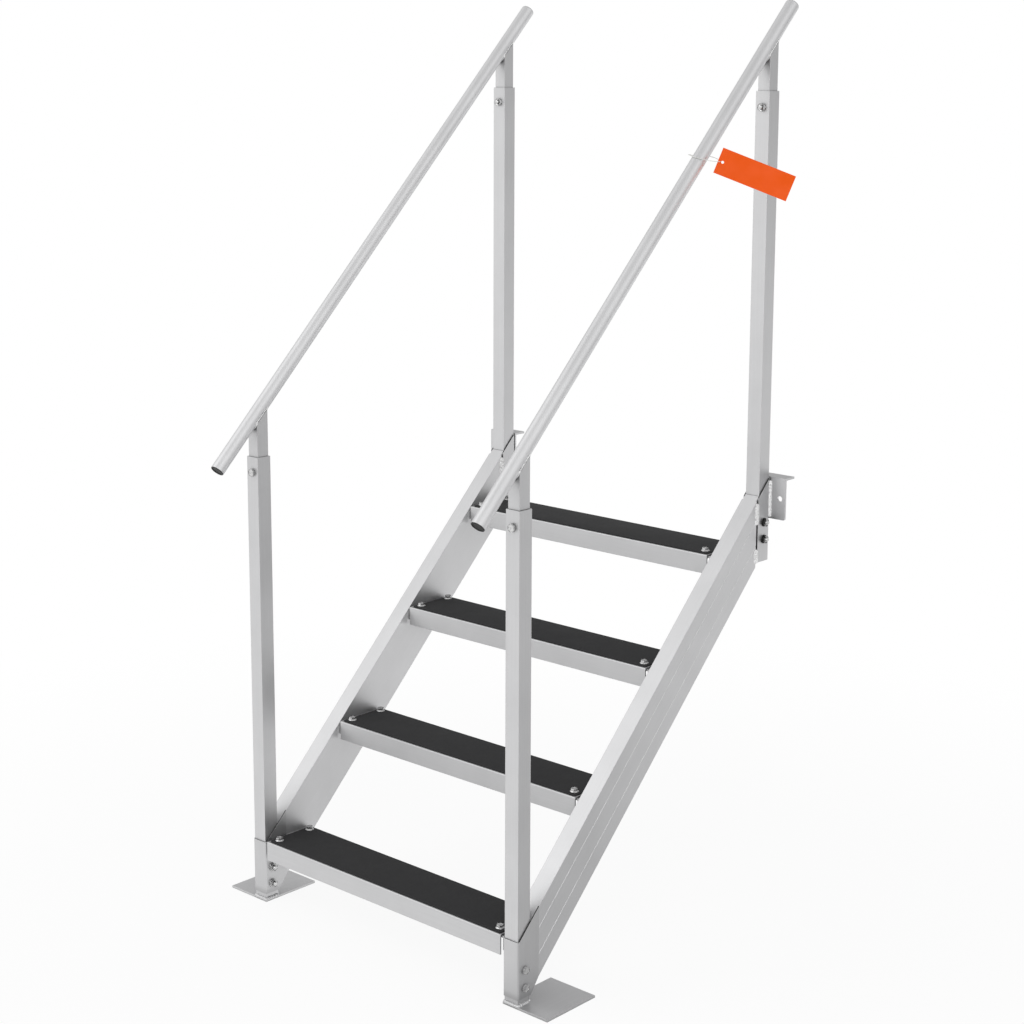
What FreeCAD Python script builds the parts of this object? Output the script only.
import FreeCAD, Part
import Sketcher

import math
import os
import re

# Dock ladder: two sloped stringers with four treads, square posts in folded brackets and round
# handrails. Millimetres, +X to the right, +Y towards the dock, +Z up. The origin is on the back
# of the right dock angle, behind the right posts and half way up the angle.

DIMENSIONS = [
    ("inner_width", 614.0, "between the stringers' inner faces"),
    ("tread_rise", 191.5, "from tread to tread, upwards"),
    ("tread_run", 191.5, "from tread to tread, towards the dock"),
    ("post_spacing", 666.0, "lower to upper post, along Y"),
    ("post_size", 30.0, "outside width of the square posts"),
    ("post_wall", 2.0, "wall of the square posts"),
    ("post_clearance", 0.2, "between a post and its bracket"),
    ("stem_size", 25.0, "outside width of the tubes that slide into the posts"),
    ("stem_wall", 2.0, "wall of those tubes"),
    ("stem_overlap", 110.0, "how far a stem reaches down into its post"),
    ("stem_exposed", 84.0, "from a post's top to the rail's centre line"),
    ("cope_gap", 0.2, "weld gap between a coped stem and the rail"),
    ("cope_depth", 6.5, "from the rail's centre line to the stem's sloped end"),
    ("rail_diameter", 26.0, "outside diameter of the handrails"),
    ("rail_wall", 2.0, "wall of the handrails"),
    ("rail_height", 814.0, "plumb height of the rail's centre line over the stringer"),
    ("rail_lower_overhang", 97.5, "level distance of the rail's low end from the post"),
    ("rail_upper_overhang", 69.5, "level distance of the rail's high end from the post"),
    ("plug_flange", 1.5, "thickness of a rail plug outside the tube"),
    ("plug_depth", 14.0, "length of a rail plug inside the tube"),
    ("plug_clearance", 0.1, "between a rail plug and the tube's bore"),
    ("stringer_width", 34.4, "width of a stringer tube"),
    ("stringer_depth", 89.5, "depth of a stringer tube, square to its length"),
    ("stringer_wall", 2.5, "wall of a stringer tube"),
    ("groove_width", 1.4, "width of the two lengthwise grooves"),
    ("groove_depth", 0.5, "depth of the two lengthwise grooves"),
    ("groove_upper", 27.0, "upper groove from the stringer's top face"),
    ("groove_lower", 60.5, "lower groove from the stringer's top face"),
    ("tongue_gap", 1.0, "between a post and the tongue of the stringer's top wall"),
    ("upper_seam_gap", 2.4, "open seam between a stringer's upper end and its bracket"),
    ("bracket_wall", 2.0, "thickness of the folded brackets"),
    ("bend_radius", 2.0, "inside radius of the brackets' bends"),
    ("lower_bracket_height", 103.5, "from the web's top to the bracket's bottom"),
    ("lower_bracket_reach", 51.0, "from the lower post's front to the stringer's cut"),
    ("lower_web_setback", 1.0, "level stretch of a lower bracket's flange before its slope"),
    ("heel_cut_depth", 18.0, "cut-off rear corner of a lower bracket, along Y"),
    ("heel_cut_height", 14.0, "cut-off rear corner of a lower bracket, along Z"),
    ("upper_bracket_reach", 7.0, "from the upper post's front to the stringer's cut"),
    ("upper_bracket_drop", 6.0, "from the stringer's lower corner up to the bracket's bottom"),
    ("foot_stub", 12.0, "length of post that shows under a lower bracket"),
    ("upper_post_lift", 5.0, "from an upper bracket's bottom to its post's end"),
    ("plate_width", 101.0, "foot plate along X"),
    ("plate_depth", 124.0, "foot plate along Y"),
    ("plate_thickness", 4.0, "foot plate"),
    ("angle_height", 80.0, "plumb leg of a dock angle"),
    ("angle_flange", 25.0, "flange of a dock angle over the dock, from the angle's back"),
    ("angle_wall", 4.0, "thickness of a dock angle"),
    ("angle_ear", 34.0, "how far a dock angle stands out past its bracket"),
    ("angle_hole", 11.0, "diameter of the dock bolt hole"),
    ("angle_hole_offset", 22.0, "dock bolt hole from the bracket's outer face"),
    ("angle_corner", 3.0, "rounded lower corner of a dock angle's ear"),
    ("tread_depth", 110.0, "tread along Y"),
    ("tread_lip", 36.0, "height of a tread's front and rear lips"),
    ("tread_wall", 2.5, "thickness of a tread"),
    ("tread_nose", 2.0, "outer corner radius of a tread"),
    ("tread_gap", 6.0, "between a tread's end and the stringer"),
    ("top_tread_run", 177.5, "from the third to the top tread, towards the dock"),
    ("tread_proud", 6.5, "tread's front edge over the stringer's top line"),
    ("mat_thickness", 2.5, "rubber mat on a tread"),
    ("mat_inset", 4.0, "mat's edge inside the tread's edge"),
    ("cleat_wall", 3.0, "thickness of a tread cleat"),
    ("cleat_leg", 25.0, "plumb leg of a tread cleat"),
    ("cleat_seat", 26.0, "level leg of a tread cleat, from the stringer"),
    ("cleat_gap", 1.0, "between a cleat and the tread's lips"),
    ("bolt_size", 8.0, "bolt shank diameter"),
    ("bolt_clearance", 0.3, "radial play of a bolt in its holes"),
    ("bolt_head", 13.0, "width across the flats of heads and nuts"),
    ("bolt_head_height", 5.0, "height of a bolt's head"),
    ("nut_height", 6.5, "height of a nut"),
    ("post_bolt_drop", 29.0, "a post's bolt under the post's top"),
    ("lower_bolt_drop", 53.0, "upper bolt of a lower bracket under the web's top"),
    ("upper_bolt_drop", 85.0, "upper bolt of an upper bracket under the web's top"),
    ("bolt_pitch", 32.5, "between a bracket's two bolts"),
    ("tag_length", 136.0, "hang tag, from end to end"),
    ("tag_width", 46.5, "hang tag, across"),
    ("tag_thickness", 0.8, "hang tag"),
    ("tag_hole", 5.0, "diameter of the tag's hole"),
    ("tag_hole_margin", 8.5, "from the tag's end to the middle of its hole"),
    ("tag_hole_edge", 24.0, "from the tag's upper edge to the middle of its hole"),
    ("tag_place", 198.0, "level distance of the tag's loop from the right upper post"),
    ("cord_diameter", 1.2, "thickness of the tag's loop"),
]

doc = FreeCAD.newDocument("DockLadder")
sheet = doc.addObject("Spreadsheet::Sheet", "Dims")
for row, (alias, size, note) in enumerate(DIMENSIONS, 1):
    sheet.set(f"A{row}", alias)
    sheet.set(f"B{row}", str(size))
    sheet.setAlias(f"B{row}", alias)
    sheet.set(f"C{row}", note)
doc.recompute()

ALIASES = re.compile(r"\b(" + "|".join(alias for alias, size, note in DIMENSIONS) + r")\b")


def linked(text):
    """The same formula with every size read from the sheet."""
    return ALIASES.sub(r"Dims.\1", str(text))


# Places that several pieces share, as formulas of the sheet's sizes

SLOPE = "(tread_rise / tread_run)"
PITCH = "atan(tread_rise / tread_run)"
PLUMB_DEPTH = "(stringer_depth / cos(atan(tread_rise / tread_run)))"
PLUMB_WALL = "(stringer_wall / cos(atan(tread_rise / tread_run)))"
BRACKET_WIDTH = "(post_size + 2 * post_clearance + 2 * bracket_wall)"
SIDE = "(inner_width + post_size + 2 * post_clearance + 2 * bracket_wall)"
UPPER_POST_Y = "(0 - angle_wall - bracket_wall - post_clearance - post_size / 2)"
LOWER_POST_Y = f"({UPPER_POST_Y} - post_spacing)"
BRACKET_FRONT_Y = f"({LOWER_POST_Y} - post_size / 2 - post_clearance - bracket_wall)"
LOWER_CUT_Y = f"({LOWER_POST_Y} - post_size / 2 + lower_bracket_reach)"
UPPER_CUT_Y = f"({UPPER_POST_Y} - post_size / 2 - upper_bracket_reach)"


def top_line(along):
    """Height of the stringers' top face at a place along Y."""
    return f"(angle_height / 2 + ({along} + angle_wall) * {SLOPE})"


LOWER_WEB_TOP = top_line(f"({LOWER_POST_Y} - post_size / 2 + lower_web_setback)")
LOWER_BRACKET_BOTTOM = f"({LOWER_WEB_TOP} - lower_bracket_height)"
PLATE_TOP = f"({LOWER_BRACKET_BOTTOM} - foot_stub)"
UPPER_BRACKET_BOTTOM = f"({top_line(UPPER_CUT_Y)} - {PLUMB_DEPTH} + upper_bracket_drop)"
UPPER_BRACKET_HEIGHT = f"(angle_height / 2 - {UPPER_BRACKET_BOTTOM})"


def rail_line(along):
    """Height of a handrail's centre line at a place along Y."""
    return f"({top_line(along)} + rail_height)"


def side_x(side):
    """Middle of the right posts at 0, and of the left posts across the ladder."""
    return "0" if side > 0 else f"(0 - {SIDE})"


MIDDLE_X = f"(0 - {SIDE} / 2)"


# Tools that draw one feature each


def add_body(name, across="0", along="0", up="0"):
    """An empty body whose origin lies at the given place."""
    body = doc.addObject("PartDesign::Body", name)
    body.Label = name
    place(body, across, along, up)
    return body


def place(piece, across="0", along="0", up="0"):
    """Ties a piece's place to the sheet."""
    for axis, formula in zip("xyz", (across, along, up)):
        piece.setExpression(f"Placement.Base.{axis}", linked(formula))


def add_sketch(body, name, plane):
    """An empty sketch on one of the body's own planes."""
    sketch = body.newObject("Sketcher::SketchObject", name)
    found = [one for one in body.Origin.OriginFeatures if one.Role == plane]
    sketch.AttachmentSupport = (found[0], [""])
    sketch.MapMode = "FlatFace"
    return sketch


def draw_outline(sketch, corners):
    """A closed outline of straight lines, each corner tied to the sheet.

    The corners start on a ring, and their ties pull them to their places."""
    first = sketch.GeometryCount
    count = len(corners)
    angles = [2 * math.pi * index / count for index in range(count)]
    ring = [FreeCAD.Vector(50 * math.cos(turn), 50 * math.sin(turn), 0) for turn in angles]
    for index in range(count):
        sketch.addGeometry(Part.LineSegment(ring[index], ring[(index + 1) % count]), False)
    for index in range(count):
        here, following = first + index, first + (index + 1) % count
        sketch.addConstraint(Sketcher.Constraint("Coincident", here, 2, following, 1))
    for index, corner in enumerate(corners):
        across, along = corner
        tie(sketch, Sketcher.Constraint("DistanceX", -1, 1, first + index, 1, ring[index].x), across)
        tie(sketch, Sketcher.Constraint("DistanceY", -1, 1, first + index, 1, ring[index].y), along)


def draw_circle(sketch, across, along, diameter):
    """A circle whose centre and diameter are tied to the sheet."""
    number = sketch.GeometryCount
    sketch.addGeometry(Part.Circle(FreeCAD.Vector(10, 10, 0), FreeCAD.Vector(0, 0, 1), 5), False)
    tie(sketch, Sketcher.Constraint("Diameter", number, 10), diameter)
    tie(sketch, Sketcher.Constraint("DistanceX", -1, 1, number, 3, 10), across)
    tie(sketch, Sketcher.Constraint("DistanceY", -1, 1, number, 3, 10), along)


def tie(sketch, constraint, formula):
    """Adds one constraint and ties its value to the sheet."""
    number = sketch.addConstraint(constraint)
    sketch.setExpression(f"Constraints[{number}]", linked(formula))


def rectangle(low_u, low_v, high_u, high_v):
    """The four corners of an upright rectangle."""
    return [(low_u, low_v), (high_u, low_v), (high_u, high_v), (low_u, high_v)]


def square(width):
    """The four corners of a square about the sketch's origin."""
    half = f"({width}) / 2"
    return rectangle(f"0 - {half}", f"0 - {half}", half, half)


def add_pad(body, sketch, length, both_sides=False, turned=False):
    """Pushes a sketch out of its plane."""
    pad = body.newObject("PartDesign::Pad", sketch.Name + "Pad")
    pad.Profile = sketch
    pad.SideType = "Symmetric" if both_sides else "One side"
    pad.Reversed = turned
    pad.setExpression("Length", linked(length))
    sketch.Visibility = False
    return pad


def add_pocket(body, sketch, depth=None, turned=False):
    """Cuts a sketch right through the body both ways, or to a depth one way."""
    pocket = body.newObject("PartDesign::Pocket", sketch.Name + "Pocket")
    pocket.Profile = sketch
    if depth is None:
        pocket.Type = "ThroughAll"
        pocket.SideType = "Symmetric"
    else:
        pocket.setExpression("Length", linked(depth))
        pocket.Reversed = turned
    sketch.Visibility = False
    return pocket


def add_fillet(body, radius, chosen):
    """Rounds the edges that the test picks out of the body's last feature.

    The test is given the edge, the middle of the edge and the feature's bounding box."""
    doc.recompute()
    base = body.Tip
    box = base.Shape.BoundBox
    names = []
    for number, edge in enumerate(base.Shape.Edges, 1):
        if chosen(edge, edge.CenterOfMass, box):
            names.append(f"Edge{number}")
    fillet = body.newObject("PartDesign::Fillet", body.Name + f"Fillet{len(body.Group)}")
    fillet.Base = (base, names)
    fillet.setExpression("Radius", linked(radius))
    return fillet


def runs_along(edge, axis):
    """True for a straight edge that lies along X, Y or Z."""
    if not isinstance(edge.Curve, Part.Line):
        return False
    direction = edge.Curve.Direction
    return abs(abs(getattr(direction, axis)) - 1) < 1e-6


def same(one, other):
    """True for two places that are the same to a hundredth of a millimetre."""
    return abs(one - other) < 0.01


# Sub-parts


def make_stringer(name, side):
    """A sloped rectangular tube with plumb-cut ends and two grooves on its outer face.

    Its top wall runs on as a tongue between the brackets' flanges, up to each post."""
    body = add_body(name, side_x(side))
    upper_end = f"({UPPER_CUT_Y} - upper_seam_gap)"

    def parallelogram(drop_top, drop_bottom, low=LOWER_CUT_Y, high=upper_end):
        """The tube's side view, its top and bottom lines lowered from the top line."""
        return [
            (low, f"{top_line(low)} - {drop_bottom}"),
            (high, f"{top_line(high)} - {drop_bottom}"),
            (high, f"{top_line(high)} - {drop_top}"),
            (low, f"{top_line(low)} - {drop_top}"),
        ]

    outside = add_sketch(body, name + "_outside", "YZ_Plane")
    draw_outline(outside, parallelogram("0", PLUMB_DEPTH))
    add_pad(body, outside, "stringer_width", both_sides=True)
    inside = add_sketch(body, name + "_inside", "YZ_Plane")
    draw_outline(inside, parallelogram(PLUMB_WALL, f"({PLUMB_DEPTH} - {PLUMB_WALL})"))
    hollow = body.newObject("PartDesign::Pocket", name + "_hollow")
    hollow.Profile = inside
    hollow.SideType = "Symmetric"
    hollow.setExpression("Length", linked("stringer_width - 2 * stringer_wall"))
    tongues = add_sketch(body, name + "_tongues", "YZ_Plane")
    lower_tip = f"({LOWER_POST_Y} + post_size / 2 + tongue_gap)"
    upper_tip = f"({UPPER_POST_Y} - post_size / 2 - tongue_gap)"
    draw_outline(tongues, parallelogram("0", PLUMB_WALL, lower_tip, upper_tip))
    add_pad(body, tongues, "post_size", both_sides=True)
    grooves = add_sketch(body, name + "_grooves", "YZ_Plane")
    cosine = f"cos({PITCH})"
    for distance in ("groove_upper", "groove_lower"):
        near = f"(({distance} - groove_width / 2) / {cosine})"
        far = f"(({distance} + groove_width / 2) / {cosine})"
        draw_outline(grooves, parallelogram(near, far))
    sign = "" if side > 0 else "0 - "
    grooves.setExpression(
        "AttachmentOffset.Base.z",
        linked(f"{sign}(stringer_width / 2 - groove_depth)"),
    )
    add_pocket(body, grooves, "groove_depth + 1", turned=side > 0)
    return body


def make_channel(name, side, web_y, flange_y, web_in_front, bottom, height):
    """A folded U channel round a post, its web at one end and its flanges open at the other."""
    body = add_body(name, side_x(side), "0", bottom)
    half = f"({BRACKET_WIDTH} / 2)"
    inner = f"({half} - bracket_wall)"
    web_inside = f"({web_y} + bracket_wall)" if web_in_front else f"({web_y} - bracket_wall)"
    section = add_sketch(body, name + "_section", "XY_Plane")
    draw_outline(
        section,
        [
            (f"0 - {half}", web_y),
            (half, web_y),
            (half, flange_y),
            (inner, flange_y),
            (inner, web_inside),
            (f"0 - {inner}", web_inside),
            (f"0 - {inner}", flange_y),
            (f"0 - {half}", flange_y),
        ],
    )
    add_pad(body, section, height)

    def bend(depth):
        """Picks the two upright edges that lie so deep behind the web's outer face."""
        return lambda edge, middle, box: runs_along(edge, "z") and same(
            abs(middle.y - (box.YMin if web_in_front else box.YMax)), depth)

    add_fillet(body, "bend_radius", bend(sheet.get("bracket_wall")))
    add_fillet(body, "bend_radius + bracket_wall", bend(0))
    return body


def add_cross_bolt_holes(body, name, along, heights):
    """Two round holes along X through both flanges or both walls."""
    holes = add_sketch(body, name + "_holes", "YZ_Plane")
    for height in heights:
        draw_circle(holes, along, height, "bolt_size + 2 * bolt_clearance")
    add_pocket(body, holes)


def make_lower_bracket(name, side):
    """The lower channel: web to the front, flanges sloped with the stringer and cut at the heel."""
    web_y = BRACKET_FRONT_Y
    top = "lower_bracket_height"
    slope_start = f"({LOWER_POST_Y} - post_size / 2 + lower_web_setback)"
    slope_top = f"({top_line(LOWER_CUT_Y)} - {LOWER_BRACKET_BOTTOM})"
    body = make_channel(name, side, web_y, LOWER_CUT_Y, True, LOWER_BRACKET_BOTTOM, slope_top)
    trim = add_sketch(body, name + "_trim", "YZ_Plane")
    draw_outline(
        trim,
        [
            (f"{web_y} - 5", top),
            (slope_start, top),
            (LOWER_CUT_Y, slope_top),
            (LOWER_CUT_Y, f"{slope_top} + 5"),
            (f"{web_y} - 5", f"{slope_top} + 5"),
        ],
    )
    draw_outline(
        trim,
        [
            (f"{LOWER_CUT_Y} - heel_cut_depth", "0"),
            (f"{LOWER_CUT_Y} - heel_cut_depth", "0 - 5"),
            (f"{LOWER_CUT_Y} + 5", "0 - 5"),
            (f"{LOWER_CUT_Y} + 5", "heel_cut_height"),
            (LOWER_CUT_Y, "heel_cut_height"),
        ],
    )
    add_pocket(body, trim)
    first = f"({top} - lower_bolt_drop)"
    add_cross_bolt_holes(body, name, LOWER_POST_Y, (first, f"{first} - bolt_pitch"))
    return body


def make_upper_bracket(name, side):
    """The upper channel: web to the dock, flanges sloped with the stringer."""
    web_y = "(0 - angle_wall)"
    body = make_channel(
        name, side, web_y, UPPER_CUT_Y, False, UPPER_BRACKET_BOTTOM, UPPER_BRACKET_HEIGHT
    )
    trim = add_sketch(body, name + "_trim", "YZ_Plane")
    draw_outline(
        trim,
        [
            (UPPER_CUT_Y, f"{UPPER_BRACKET_HEIGHT} - ({web_y} - {UPPER_CUT_Y}) * {SLOPE}"),
            (web_y, UPPER_BRACKET_HEIGHT),
            (web_y, f"{UPPER_BRACKET_HEIGHT} + 5"),
            (f"{UPPER_CUT_Y} - 5", f"{UPPER_BRACKET_HEIGHT} + 5"),
            (
                f"{UPPER_CUT_Y} - 5",
                f"{UPPER_BRACKET_HEIGHT} - ({web_y} - {UPPER_CUT_Y}) * {SLOPE}",
            ),
        ],
    )
    add_pocket(body, trim)
    first = f"({UPPER_BRACKET_HEIGHT} - upper_bolt_drop)"
    add_cross_bolt_holes(body, name, UPPER_POST_Y, (first, f"{first} - bolt_pitch"))
    return body


def make_foot_plate(name, side):
    """A flat plate under a lower post, flush with the bracket's inner face and front."""
    inner = f"({side} * (0 - {BRACKET_WIDTH} / 2))"
    outer = f"({inner} + {side} * plate_width)"
    body = add_body(name, side_x(side), BRACKET_FRONT_Y, f"{PLATE_TOP} - plate_thickness")
    outline = add_sketch(body, name + "_outline", "XY_Plane")
    draw_outline(outline, rectangle(inner, "0", outer, "plate_depth"))
    add_pad(body, outline, "plate_thickness")
    return body


def make_dock_angle(name, side):
    """An L hook: plumb leg behind the bracket with a bolt hole in its ear, flange over the dock."""
    body = add_body(name, side_x(side))
    length = f"({BRACKET_WIDTH} + angle_ear)"
    profile = add_sketch(body, name + "_profile", "YZ_Plane")
    top = "(angle_height / 2)"
    draw_outline(
        profile,
        [
            ("0 - angle_wall", f"0 - {top}"),
            ("0", f"0 - {top}"),
            ("0", f"{top} - angle_wall"),
            ("angle_flange", f"{top} - angle_wall"),
            ("angle_flange", top),
            ("0 - angle_wall", top),
        ],
    )
    profile.setExpression(
        "AttachmentOffset.Base.z",
        linked(f"{side} * (0 - {BRACKET_WIDTH} / 2) + ({side} - 1) / 2 * {length}"),
    )
    add_pad(body, profile, length)

    def ear_corner(edge, middle, box):
        """The ear's lower outer corner."""
        outer = box.XMax if side > 0 else box.XMin
        return runs_along(edge, "y") and same(middle.z, box.ZMin) and same(middle.x, outer)

    add_fillet(body, "angle_corner", ear_corner)
    hole = add_sketch(body, name + "_hole", "XZ_Plane")
    draw_circle(hole, f"{side} * ({BRACKET_WIDTH} / 2 + angle_hole_offset)", "0", "angle_hole")
    add_pocket(body, hole)
    return body


def make_tube(body, name, size, wall, length):
    """A square tube that stands on the body's origin."""
    section = add_sketch(body, name + "_section", "XY_Plane")
    draw_outline(section, square(size))
    draw_outline(section, square(f"{size} - 2 * {wall}"))
    add_pad(body, section, length)
    return section


def make_post(name, side, along, bottom, bolt_heights):
    """A square post with its cross holes at the foot and one hole along Y near its top."""
    collar = f"({rail_line(along)} - stem_exposed)"
    body = add_body(name, side_x(side), along, bottom)
    length = f"({collar} - {bottom})"
    make_tube(body, name, "post_size", "post_wall", length)
    add_cross_bolt_holes(body, name, "0", [f"{height} - {bottom}" for height in bolt_heights])
    pin = add_sketch(body, name + "_pin_hole", "XZ_Plane")
    draw_circle(pin, "0", f"{length} - post_bolt_drop", "bolt_size + 2 * bolt_clearance")
    add_pocket(body, pin)
    return body


def make_stem(name, side, along):
    """A smaller tube in a post's top, cut to the slope and coped to the round handrail."""
    body = add_body(name, side_x(side), along, rail_line(along))
    length = f"stem_exposed + stem_overlap + stem_size * {SLOPE}"
    section = make_tube(body, name, "stem_size", "stem_wall", length)
    section.setExpression("AttachmentOffset.Base.z", linked("0 - stem_exposed - stem_overlap"))
    end_drop = f"(cope_depth / cos({PITCH}))"
    reach = "(stem_size)"
    trim = add_sketch(body, name + "_trim", "YZ_Plane")
    draw_outline(
        trim,
        [
            (f"0 - {reach}", f"0 - {reach} * {SLOPE} - {end_drop}"),
            (reach, f"{reach} * {SLOPE} - {end_drop}"),
            (reach, f"2 * stem_size * {SLOPE} + 5"),
            (f"0 - {reach}", f"2 * stem_size * {SLOPE} + 5"),
        ],
    )
    add_pocket(body, trim)
    saddle = add_sketch(body, name + "_saddle", "YZ_Plane")
    cosine, sine = f"cos({PITCH})", f"sin({PITCH})"
    radius = "(rail_diameter / 2 + cope_gap)"
    corners = [
        (f"0 - 2 * {reach} * {cosine}", f"0 - 2 * {reach} * {sine}"),
        (f"2 * {reach} * {cosine}", f"2 * {reach} * {sine}"),
        (f"2 * {reach} * {cosine} + {radius} * {sine}", f"2 * {reach} * {sine} - {radius} * {cosine}"),
        (f"0 - 2 * {reach} * {cosine} + {radius} * {sine}",
         f"0 - 2 * {reach} * {sine} - {radius} * {cosine}"),
    ]
    draw_outline(saddle, corners)
    groove = body.newObject("PartDesign::Groove", name + "_cope")
    groove.Profile = saddle
    groove.ReferenceAxis = (saddle, ["Edge1"])
    groove.Angle = 360
    pin = add_sketch(body, name + "_pin_hole", "XZ_Plane")
    draw_circle(pin, "0", "0 - stem_exposed - post_bolt_drop", "bolt_size + 2 * bolt_clearance")
    add_pocket(body, pin)
    return body


def lay_along_rail(piece, side):
    """Puts a piece's origin at the rail's low end, its Z axis up along the rail."""
    end = f"({LOWER_POST_Y} - rail_lower_overhang)"
    place(piece, side_x(side), end, rail_line(end))
    piece.Placement.Rotation = FreeCAD.Rotation(FreeCAD.Vector(-1, 0, 0), 45)
    piece.setExpression("Placement.Rotation.Angle", linked(f"90 deg - {PITCH}"))


RAIL_LENGTH = f"((post_spacing + rail_lower_overhang + rail_upper_overhang) / cos({PITCH}))"


def make_handrail(name, side):
    """A round tube that runs parallel to the stringers."""
    body = add_body(name)
    lay_along_rail(body, side)
    section = add_sketch(body, name + "_section", "XY_Plane")
    draw_circle(section, "0", "0", "rail_diameter")
    draw_circle(section, "0", "0", "rail_diameter - 2 * rail_wall")
    add_pad(body, section, RAIL_LENGTH)
    return body


def make_plug(name, end, outward):
    """A plug, turned about the rail's axis, at one end of a handrail."""
    body = add_body(name, "0", "0", end)
    bore = "(rail_diameter / 2 - rail_wall - plug_clearance)"
    rim = "(rail_diameter / 2)"
    face = f"({outward} * plug_flange)"
    inner_end = f"(0 - {outward} * plug_depth)"
    profile = add_sketch(body, name + "_profile", "XZ_Plane")
    draw_outline(
        profile,
        [("0", inner_end), (bore, inner_end), (bore, "0"), (rim, "0"), (rim, face), ("0", face)],
    )
    turn = body.newObject("PartDesign::Revolution", name + "_turn")
    turn.Profile = profile
    turn.ReferenceAxis = (profile, ["V_Axis"])
    turn.Angle = 360
    profile.Visibility = False
    return body


def group(name, members):
    """Several solids that share one node and keep clear of each other."""
    compound = doc.addObject("Part::Compound", name)
    compound.Label = name
    compound.Links = members
    return compound


def make_rail_plugs(name, side):
    """The two plugs of one handrail."""
    plugs = [
        make_plug(name + "_low", "0", -1),
        make_plug(name + "_high", RAIL_LENGTH, 1),
    ]
    pair = group(name, plugs)
    lay_along_rail(pair, side)
    return pair


def tread_front(number):
    """Front of a tread along Y, counted from 0 at the bottom, the first flush with the brackets."""
    runs = f"{number} * tread_run" if number < 3 else "2 * tread_run + top_tread_run"
    return f"({BRACKET_FRONT_Y} + {runs})"


def tread_top(number):
    """Top of a tread, its front edge a little over the stringers' top line."""
    return f"({top_line(tread_front(number))} + tread_proud)"


def make_tread(number):
    """A folded channel, open underneath, with a lip at the front and one at the back."""
    name = f"tread_{number + 1}"
    body = add_body(name, MIDDLE_X, tread_front(number), tread_top(number))
    profile = add_sketch(body, name + "_profile", "YZ_Plane")
    draw_outline(
        profile,
        [
            ("0", "0 - tread_lip"),
            ("tread_wall", "0 - tread_lip"),
            ("tread_wall", "0 - tread_wall"),
            ("tread_depth - tread_wall", "0 - tread_wall"),
            ("tread_depth - tread_wall", "0 - tread_lip"),
            ("tread_depth", "0 - tread_lip"),
            ("tread_depth", "0"),
            ("0", "0"),
        ],
    )
    add_pad(body, profile, "inner_width - 2 * tread_gap", both_sides=True)
    add_fillet(
        body,
        "tread_nose",
        lambda edge, middle, box: runs_along(edge, "x") and same(middle.z, box.ZMax),
    )
    return body


def make_mat(number):
    """A rubber mat that lies on a tread, just inside its edges."""
    name = f"tread_{number + 1}_mat"
    body = add_body(name, MIDDLE_X, tread_front(number), tread_top(number))
    outline = add_sketch(body, name + "_outline", "XY_Plane")
    half = "(inner_width / 2 - tread_gap - mat_inset)"
    draw_outline(outline, rectangle(f"0 - {half}", "mat_inset", half, "tread_depth - mat_inset"))
    add_pad(body, outline, "mat_thickness")
    return body


def make_cleats(number):
    """The two L cleats that carry a tread between the stringers."""
    name = f"tread_{number + 1}_cleats"
    pair = []
    for side, label in ((-1, "left"), (1, "right")):
        body = add_body(f"{name}_{label}")
        profile = add_sketch(body, body.Name + "_profile", "XZ_Plane")
        wall = f"({side} * inner_width / 2)"
        draw_outline(
            profile,
            [
                (wall, "0 - tread_wall"),
                (wall, "0 - tread_wall - cleat_leg"),
                (f"{wall} - {side} * cleat_wall", "0 - tread_wall - cleat_leg"),
                (f"{wall} - {side} * cleat_wall", "0 - tread_wall - cleat_wall"),
                (f"{wall} - {side} * cleat_seat", "0 - tread_wall - cleat_wall"),
                (f"{wall} - {side} * cleat_seat", "0 - tread_wall"),
            ],
        )
        profile.setExpression("AttachmentOffset.Base.z", linked("0 - tread_wall - cleat_gap"))
        add_pad(body, profile, "tread_depth - 2 * tread_wall - 2 * cleat_gap", turned=True)
        pair.append(body)
    node = group(name, pair)
    place(node, MIDDLE_X, tread_front(number), tread_top(number))
    return node


def make_bolt(name, grip):
    """A hexagon bolt along +X, its head at -X and its nut at +X, as one solid.

    grip is the width that it clamps, centred on the origin."""
    start, end = f"(0 - ({grip}) / 2)", f"(({grip}) / 2)"
    shank = doc.addObject("Part::Cylinder", f"{name}_shank")
    shank.setExpression("Radius", linked("bolt_size / 2"))
    shank.setExpression("Height", linked(grip))
    pieces = [(shank, start)]
    hexagons = (
        ("head", f"{start} - bolt_head_height", "bolt_head_height"),
        ("nut", end, "nut_height"),
    )
    for label, low, length in hexagons:
        prism = doc.addObject("Part::Prism", f"{name}_{label}")
        prism.Polygon = 6
        prism.setExpression("Circumradius", linked("bolt_head / 2 / cos(30 deg)"))
        prism.setExpression("Height", linked(length))
        pieces.append((prism, low))
    for piece, low in pieces:
        piece.Placement.Rotation = FreeCAD.Rotation(FreeCAD.Vector(0, 1, 0), 90)
        piece.setExpression("Placement.Base.x", linked(low))
    bolt = doc.addObject("Part::MultiFuse", name)
    bolt.Label = name
    bolt.Shapes = [piece for piece, low in pieces]
    bolt.Refine = True
    return bolt


def turn_about_z(piece, angle):
    """Turns a piece in plan view."""
    piece.Placement.Rotation = FreeCAD.Rotation(FreeCAD.Vector(0, 0, 1), angle)


def make_bracket_bolts(name, side, along, upper_height, at_dock):
    """The two bolts along X that hold a post in its bracket.

    The lower brackets have the heads outside, the upper ones the nuts."""
    pair = []
    for label, height in (("high", upper_height), ("low", f"{upper_height} - bolt_pitch")):
        bolt = make_bolt(f"{name}_{label}", BRACKET_WIDTH)
        turn_about_z(bolt, 180 if at_dock == (side < 0) else 0)
        place(bolt, "0", "0", height)
        pair.append(bolt)
    node = group(name, pair)
    place(node, side_x(side), along, "0")
    return node


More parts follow.
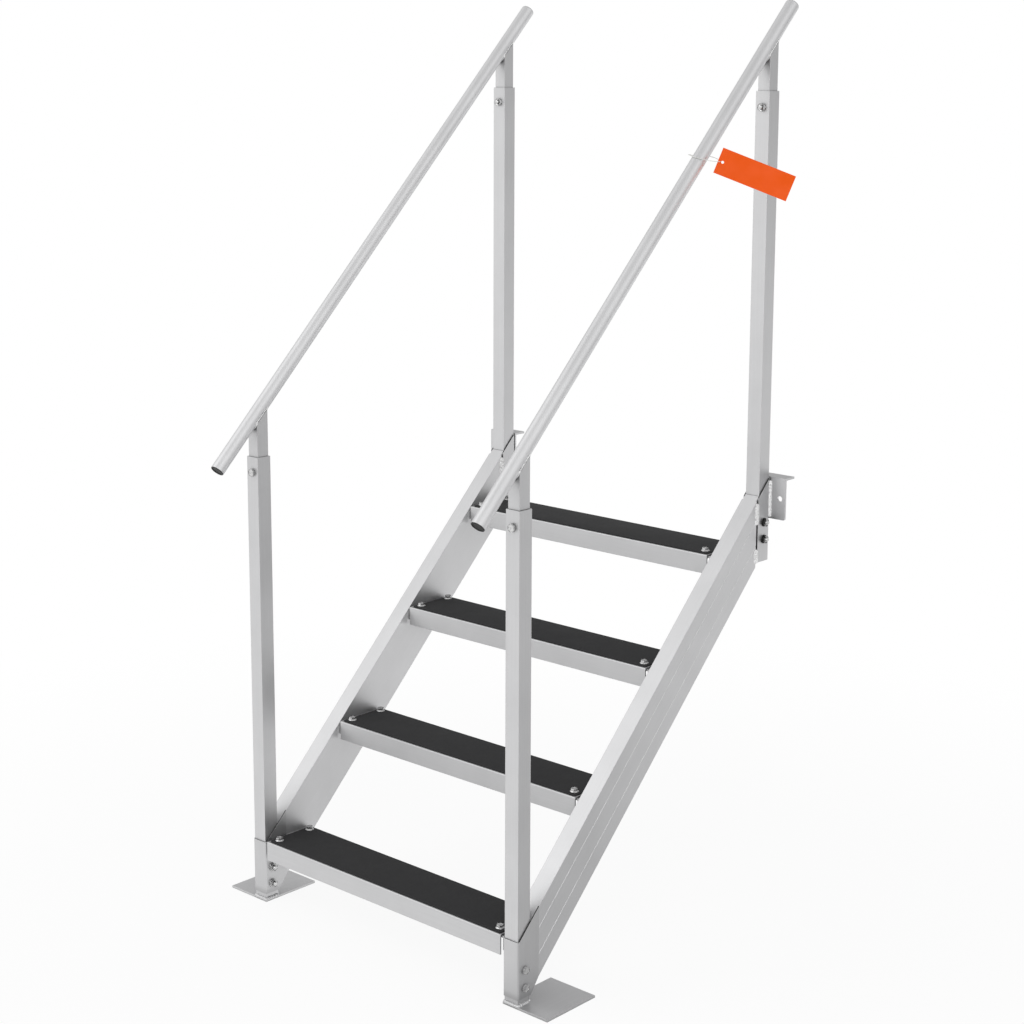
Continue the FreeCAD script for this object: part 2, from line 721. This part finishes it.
def make_post_bolt(name, side, along, at_dock):
    """The bolt along Y that pins a stem in its post, its head away from the middle of the rail."""
    bolt = make_bolt(name, "post_size")
    turn_about_z(bolt, -90 if at_dock else 90)
    place(bolt, side_x(side), along, f"{rail_line(along)} - stem_exposed - post_bolt_drop")
    return bolt


# The hang tag and its loop. Their places are given about a point of the right rail's centre
# line: across to the right, up square to the rail, and along the rail towards the dock.

TAG_SPOT_Y = f"({UPPER_POST_Y} - tag_place)"
TAG_HOLE_PLACE = (31.9, -21.4, 10.7)
TAG_TURN = 35.4
TAG_SLOPE = 21.0
LOOP_END_RUN = 7.0
LOOP_SIDES = 8
LOOP_ROUTE = [
    (25.5, -6.8, -1.2),
    (18.3, 3.0, -7.6),
    (9.8, 11.6, -11.8),
    (-1.4, 14.9, -11.6),
    (-12.4, 14.4, -7.6),
    (-21.6, 8.6, -1.2),
    (-24.6, -1.2, 6.4),
    (-19.2, -10.8, 13.4),
    (-9.0, -16.2, 18.4),
    (2.6, -18.6, 20.6),
    (14.0, -20.8, 18.8),
]


def sheet_value(formula):
    """Reads one length of the sheet."""
    return float(sheet.get(formula))


def rail_pitch():
    """The rail's slope as an angle."""
    return math.atan(sheet_value("tread_rise") / sheet_value("tread_run"))


def beside_rail(place_about_rail):
    """A place about the rail as a vector in the ladder's own axes, from the rail's point."""
    across, square_up, along = place_about_rail
    cosine, sine = math.cos(rail_pitch()), math.sin(rail_pitch())
    return FreeCAD.Vector(
        across, along * cosine - square_up * sine, along * sine + square_up * cosine
    )


def rounded_route(points):
    """Straight runs joined by tangent arcs, each arc as large as its two runs allow."""
    edges, radii = [], []
    start = points[0]
    for before, corner, after in zip(points, points[1:], points[2:]):
        arriving = (corner - before).normalize()
        leaving = (after - corner).normalize()
        half_turn = arriving.getAngle(leaving) / 2
        trim = 0.45 * min((corner - before).Length, (after - corner).Length)
        radius = trim / math.tan(half_turn)
        arc_start, arc_end = corner - arriving * trim, corner + leaving * trim
        inward = (leaving - arriving).normalize()
        arc_middle = corner + inward * (radius / math.cos(half_turn) - radius)
        edges.append(Part.LineSegment(start, arc_start).toShape())
        edges.append(Part.Arc(arc_start, arc_middle, arc_end).toShape())
        radii.append(radius)
        start = arc_end
    edges.append(Part.LineSegment(start, points[-1]).toShape())
    return Part.Wire(edges), radii


def make_tag(name):
    """A thin plate with a hole near one end, turned and tilted as it hangs."""
    hole_place = beside_rail(TAG_HOLE_PLACE)
    body = add_body(
        name,
        f"{hole_place.x}",
        f"{TAG_SPOT_Y} + {hole_place.y}",
        f"{rail_line(TAG_SPOT_Y)} + {hole_place.z}",
    )
    turn = FreeCAD.Rotation(FreeCAD.Vector(0, 0, 1), TAG_TURN)
    slope = FreeCAD.Rotation(FreeCAD.Vector(0, 1, 0), TAG_SLOPE)
    body.Placement.Rotation = turn.multiply(slope)
    outline = add_sketch(body, name + "_outline", "XZ_Plane")
    draw_outline(
        outline,
        rectangle("0 - tag_hole_margin", "0 - tag_width + tag_hole_edge",
                  "tag_length - tag_hole_margin", "tag_hole_edge"),
    )
    draw_circle(outline, "0", "0", "tag_hole")
    add_pad(body, outline, "tag_thickness", both_sides=True)
    return body


def make_loop(name, tag):
    """A thin cord from the tag's front beside the hole, over the rail and back to its rear.

    Both ends stand square on the tag. Its section is an even polygon, which keeps the
    faces of so thin a cord few."""
    turned = tag.Placement.Rotation
    front = turned.multVec(FreeCAD.Vector(0, -1, 0))
    beside_hole = turned.multVec(FreeCAD.Vector(-sheet_value("tag_hole") / 2 - 1, 0, 0))
    face = sheet_value("tag_thickness") / 2
    spot = tag.Placement.Base - beside_rail(TAG_HOLE_PLACE)
    held = tag.Placement.Base + beside_hole
    points = [held + front * face, held + front * (face + LOOP_END_RUN)]
    points += [spot + beside_rail(place_about_rail) for place_about_rail in LOOP_ROUTE]
    points += [held - front * (face + LOOP_END_RUN), held - front * face]
    route, radii = rounded_route(points)
    radius = sheet_value("cord_diameter") / 2
    first = route.OrderedEdges[0]
    direction = first.tangentAt(first.FirstParameter)
    ring = Part.Circle(points[0], direction, radius).toShape().discretize(LOOP_SIDES + 1)
    outline = Part.makePolygon(ring)
    tube = route.makePipeShell([outline], True, False)
    section = Part.Face(outline).Area
    print(f"{name}: length {route.Length:.1f}, radii " + ", ".join(f"{r:.1f}" for r in radii))
    print(f"{name}: volume {tube.Volume:.2f}, section times length {section * route.Length:.2f}")
    piece = doc.addObject("Part::Feature", name)
    piece.Label = name
    piece.Shape = tube
    return piece


# The ladder

LOWER_BOLT_HEIGHT = f"({LOWER_WEB_TOP} - lower_bolt_drop)"
UPPER_BOLT_HEIGHT = "(angle_height / 2 - upper_bolt_drop)"

nodes = []
for side, label in ((-1, "left"), (1, "right")):
    nodes.append(make_stringer(f"{label}_stringer", side))
    nodes.append(make_lower_bracket(f"{label}_lower_bracket", side))
    nodes.append(make_upper_bracket(f"{label}_upper_bracket", side))
    nodes.append(make_foot_plate(f"{label}_foot_plate", side))
    nodes.append(make_dock_angle(f"{label}_dock_angle", side))
    nodes.append(make_handrail(f"{label}_handrail", side))
    nodes.append(make_rail_plugs(f"{label}_rail_plugs", side))
    ends = (
        ("lower", LOWER_POST_Y, PLATE_TOP, LOWER_BOLT_HEIGHT, False),
        ("upper", UPPER_POST_Y, f"({UPPER_BRACKET_BOTTOM} + upper_post_lift)", UPPER_BOLT_HEIGHT, True),
    )
    for end, along, bottom, bolt_height, at_dock in ends:
        heights = (bolt_height, f"({bolt_height} - bolt_pitch)")
        nodes.append(make_post(f"{label}_{end}_post", side, along, bottom, heights))
        nodes.append(make_stem(f"{label}_{end}_stem", side, along))
        nodes.append(make_post_bolt(f"{label}_{end}_post_bolt", side, along, at_dock))
        nodes.append(
            make_bracket_bolts(f"{label}_{end}_bracket_bolts", side, along, bolt_height, at_dock)
        )
for number in range(4):
    nodes.append(make_tread(number))
    nodes.append(make_mat(number))
    nodes.append(make_cleats(number))

tag = make_tag("hang_tag")
doc.recompute()
nodes += [tag, make_loop("tag_loop", tag)]

doc.recompute()
for piece in doc.Objects:
    if {"Invalid", "Error"} & set(piece.State):
        raise RuntimeError(f"{piece.Name} did not compute: {piece.State}")
for node in nodes:
    if node.Shape.isNull() or not node.Shape.isValid() or not node.Shape.Solids:
        raise RuntimeError(f"{node.Label} has no valid solid")

os.makedirs("parts", exist_ok=True)
for node in nodes:
    node.Shape.exportStep(f"parts/{node.Label}.step")
print(f"{len(nodes)} sub-parts written")
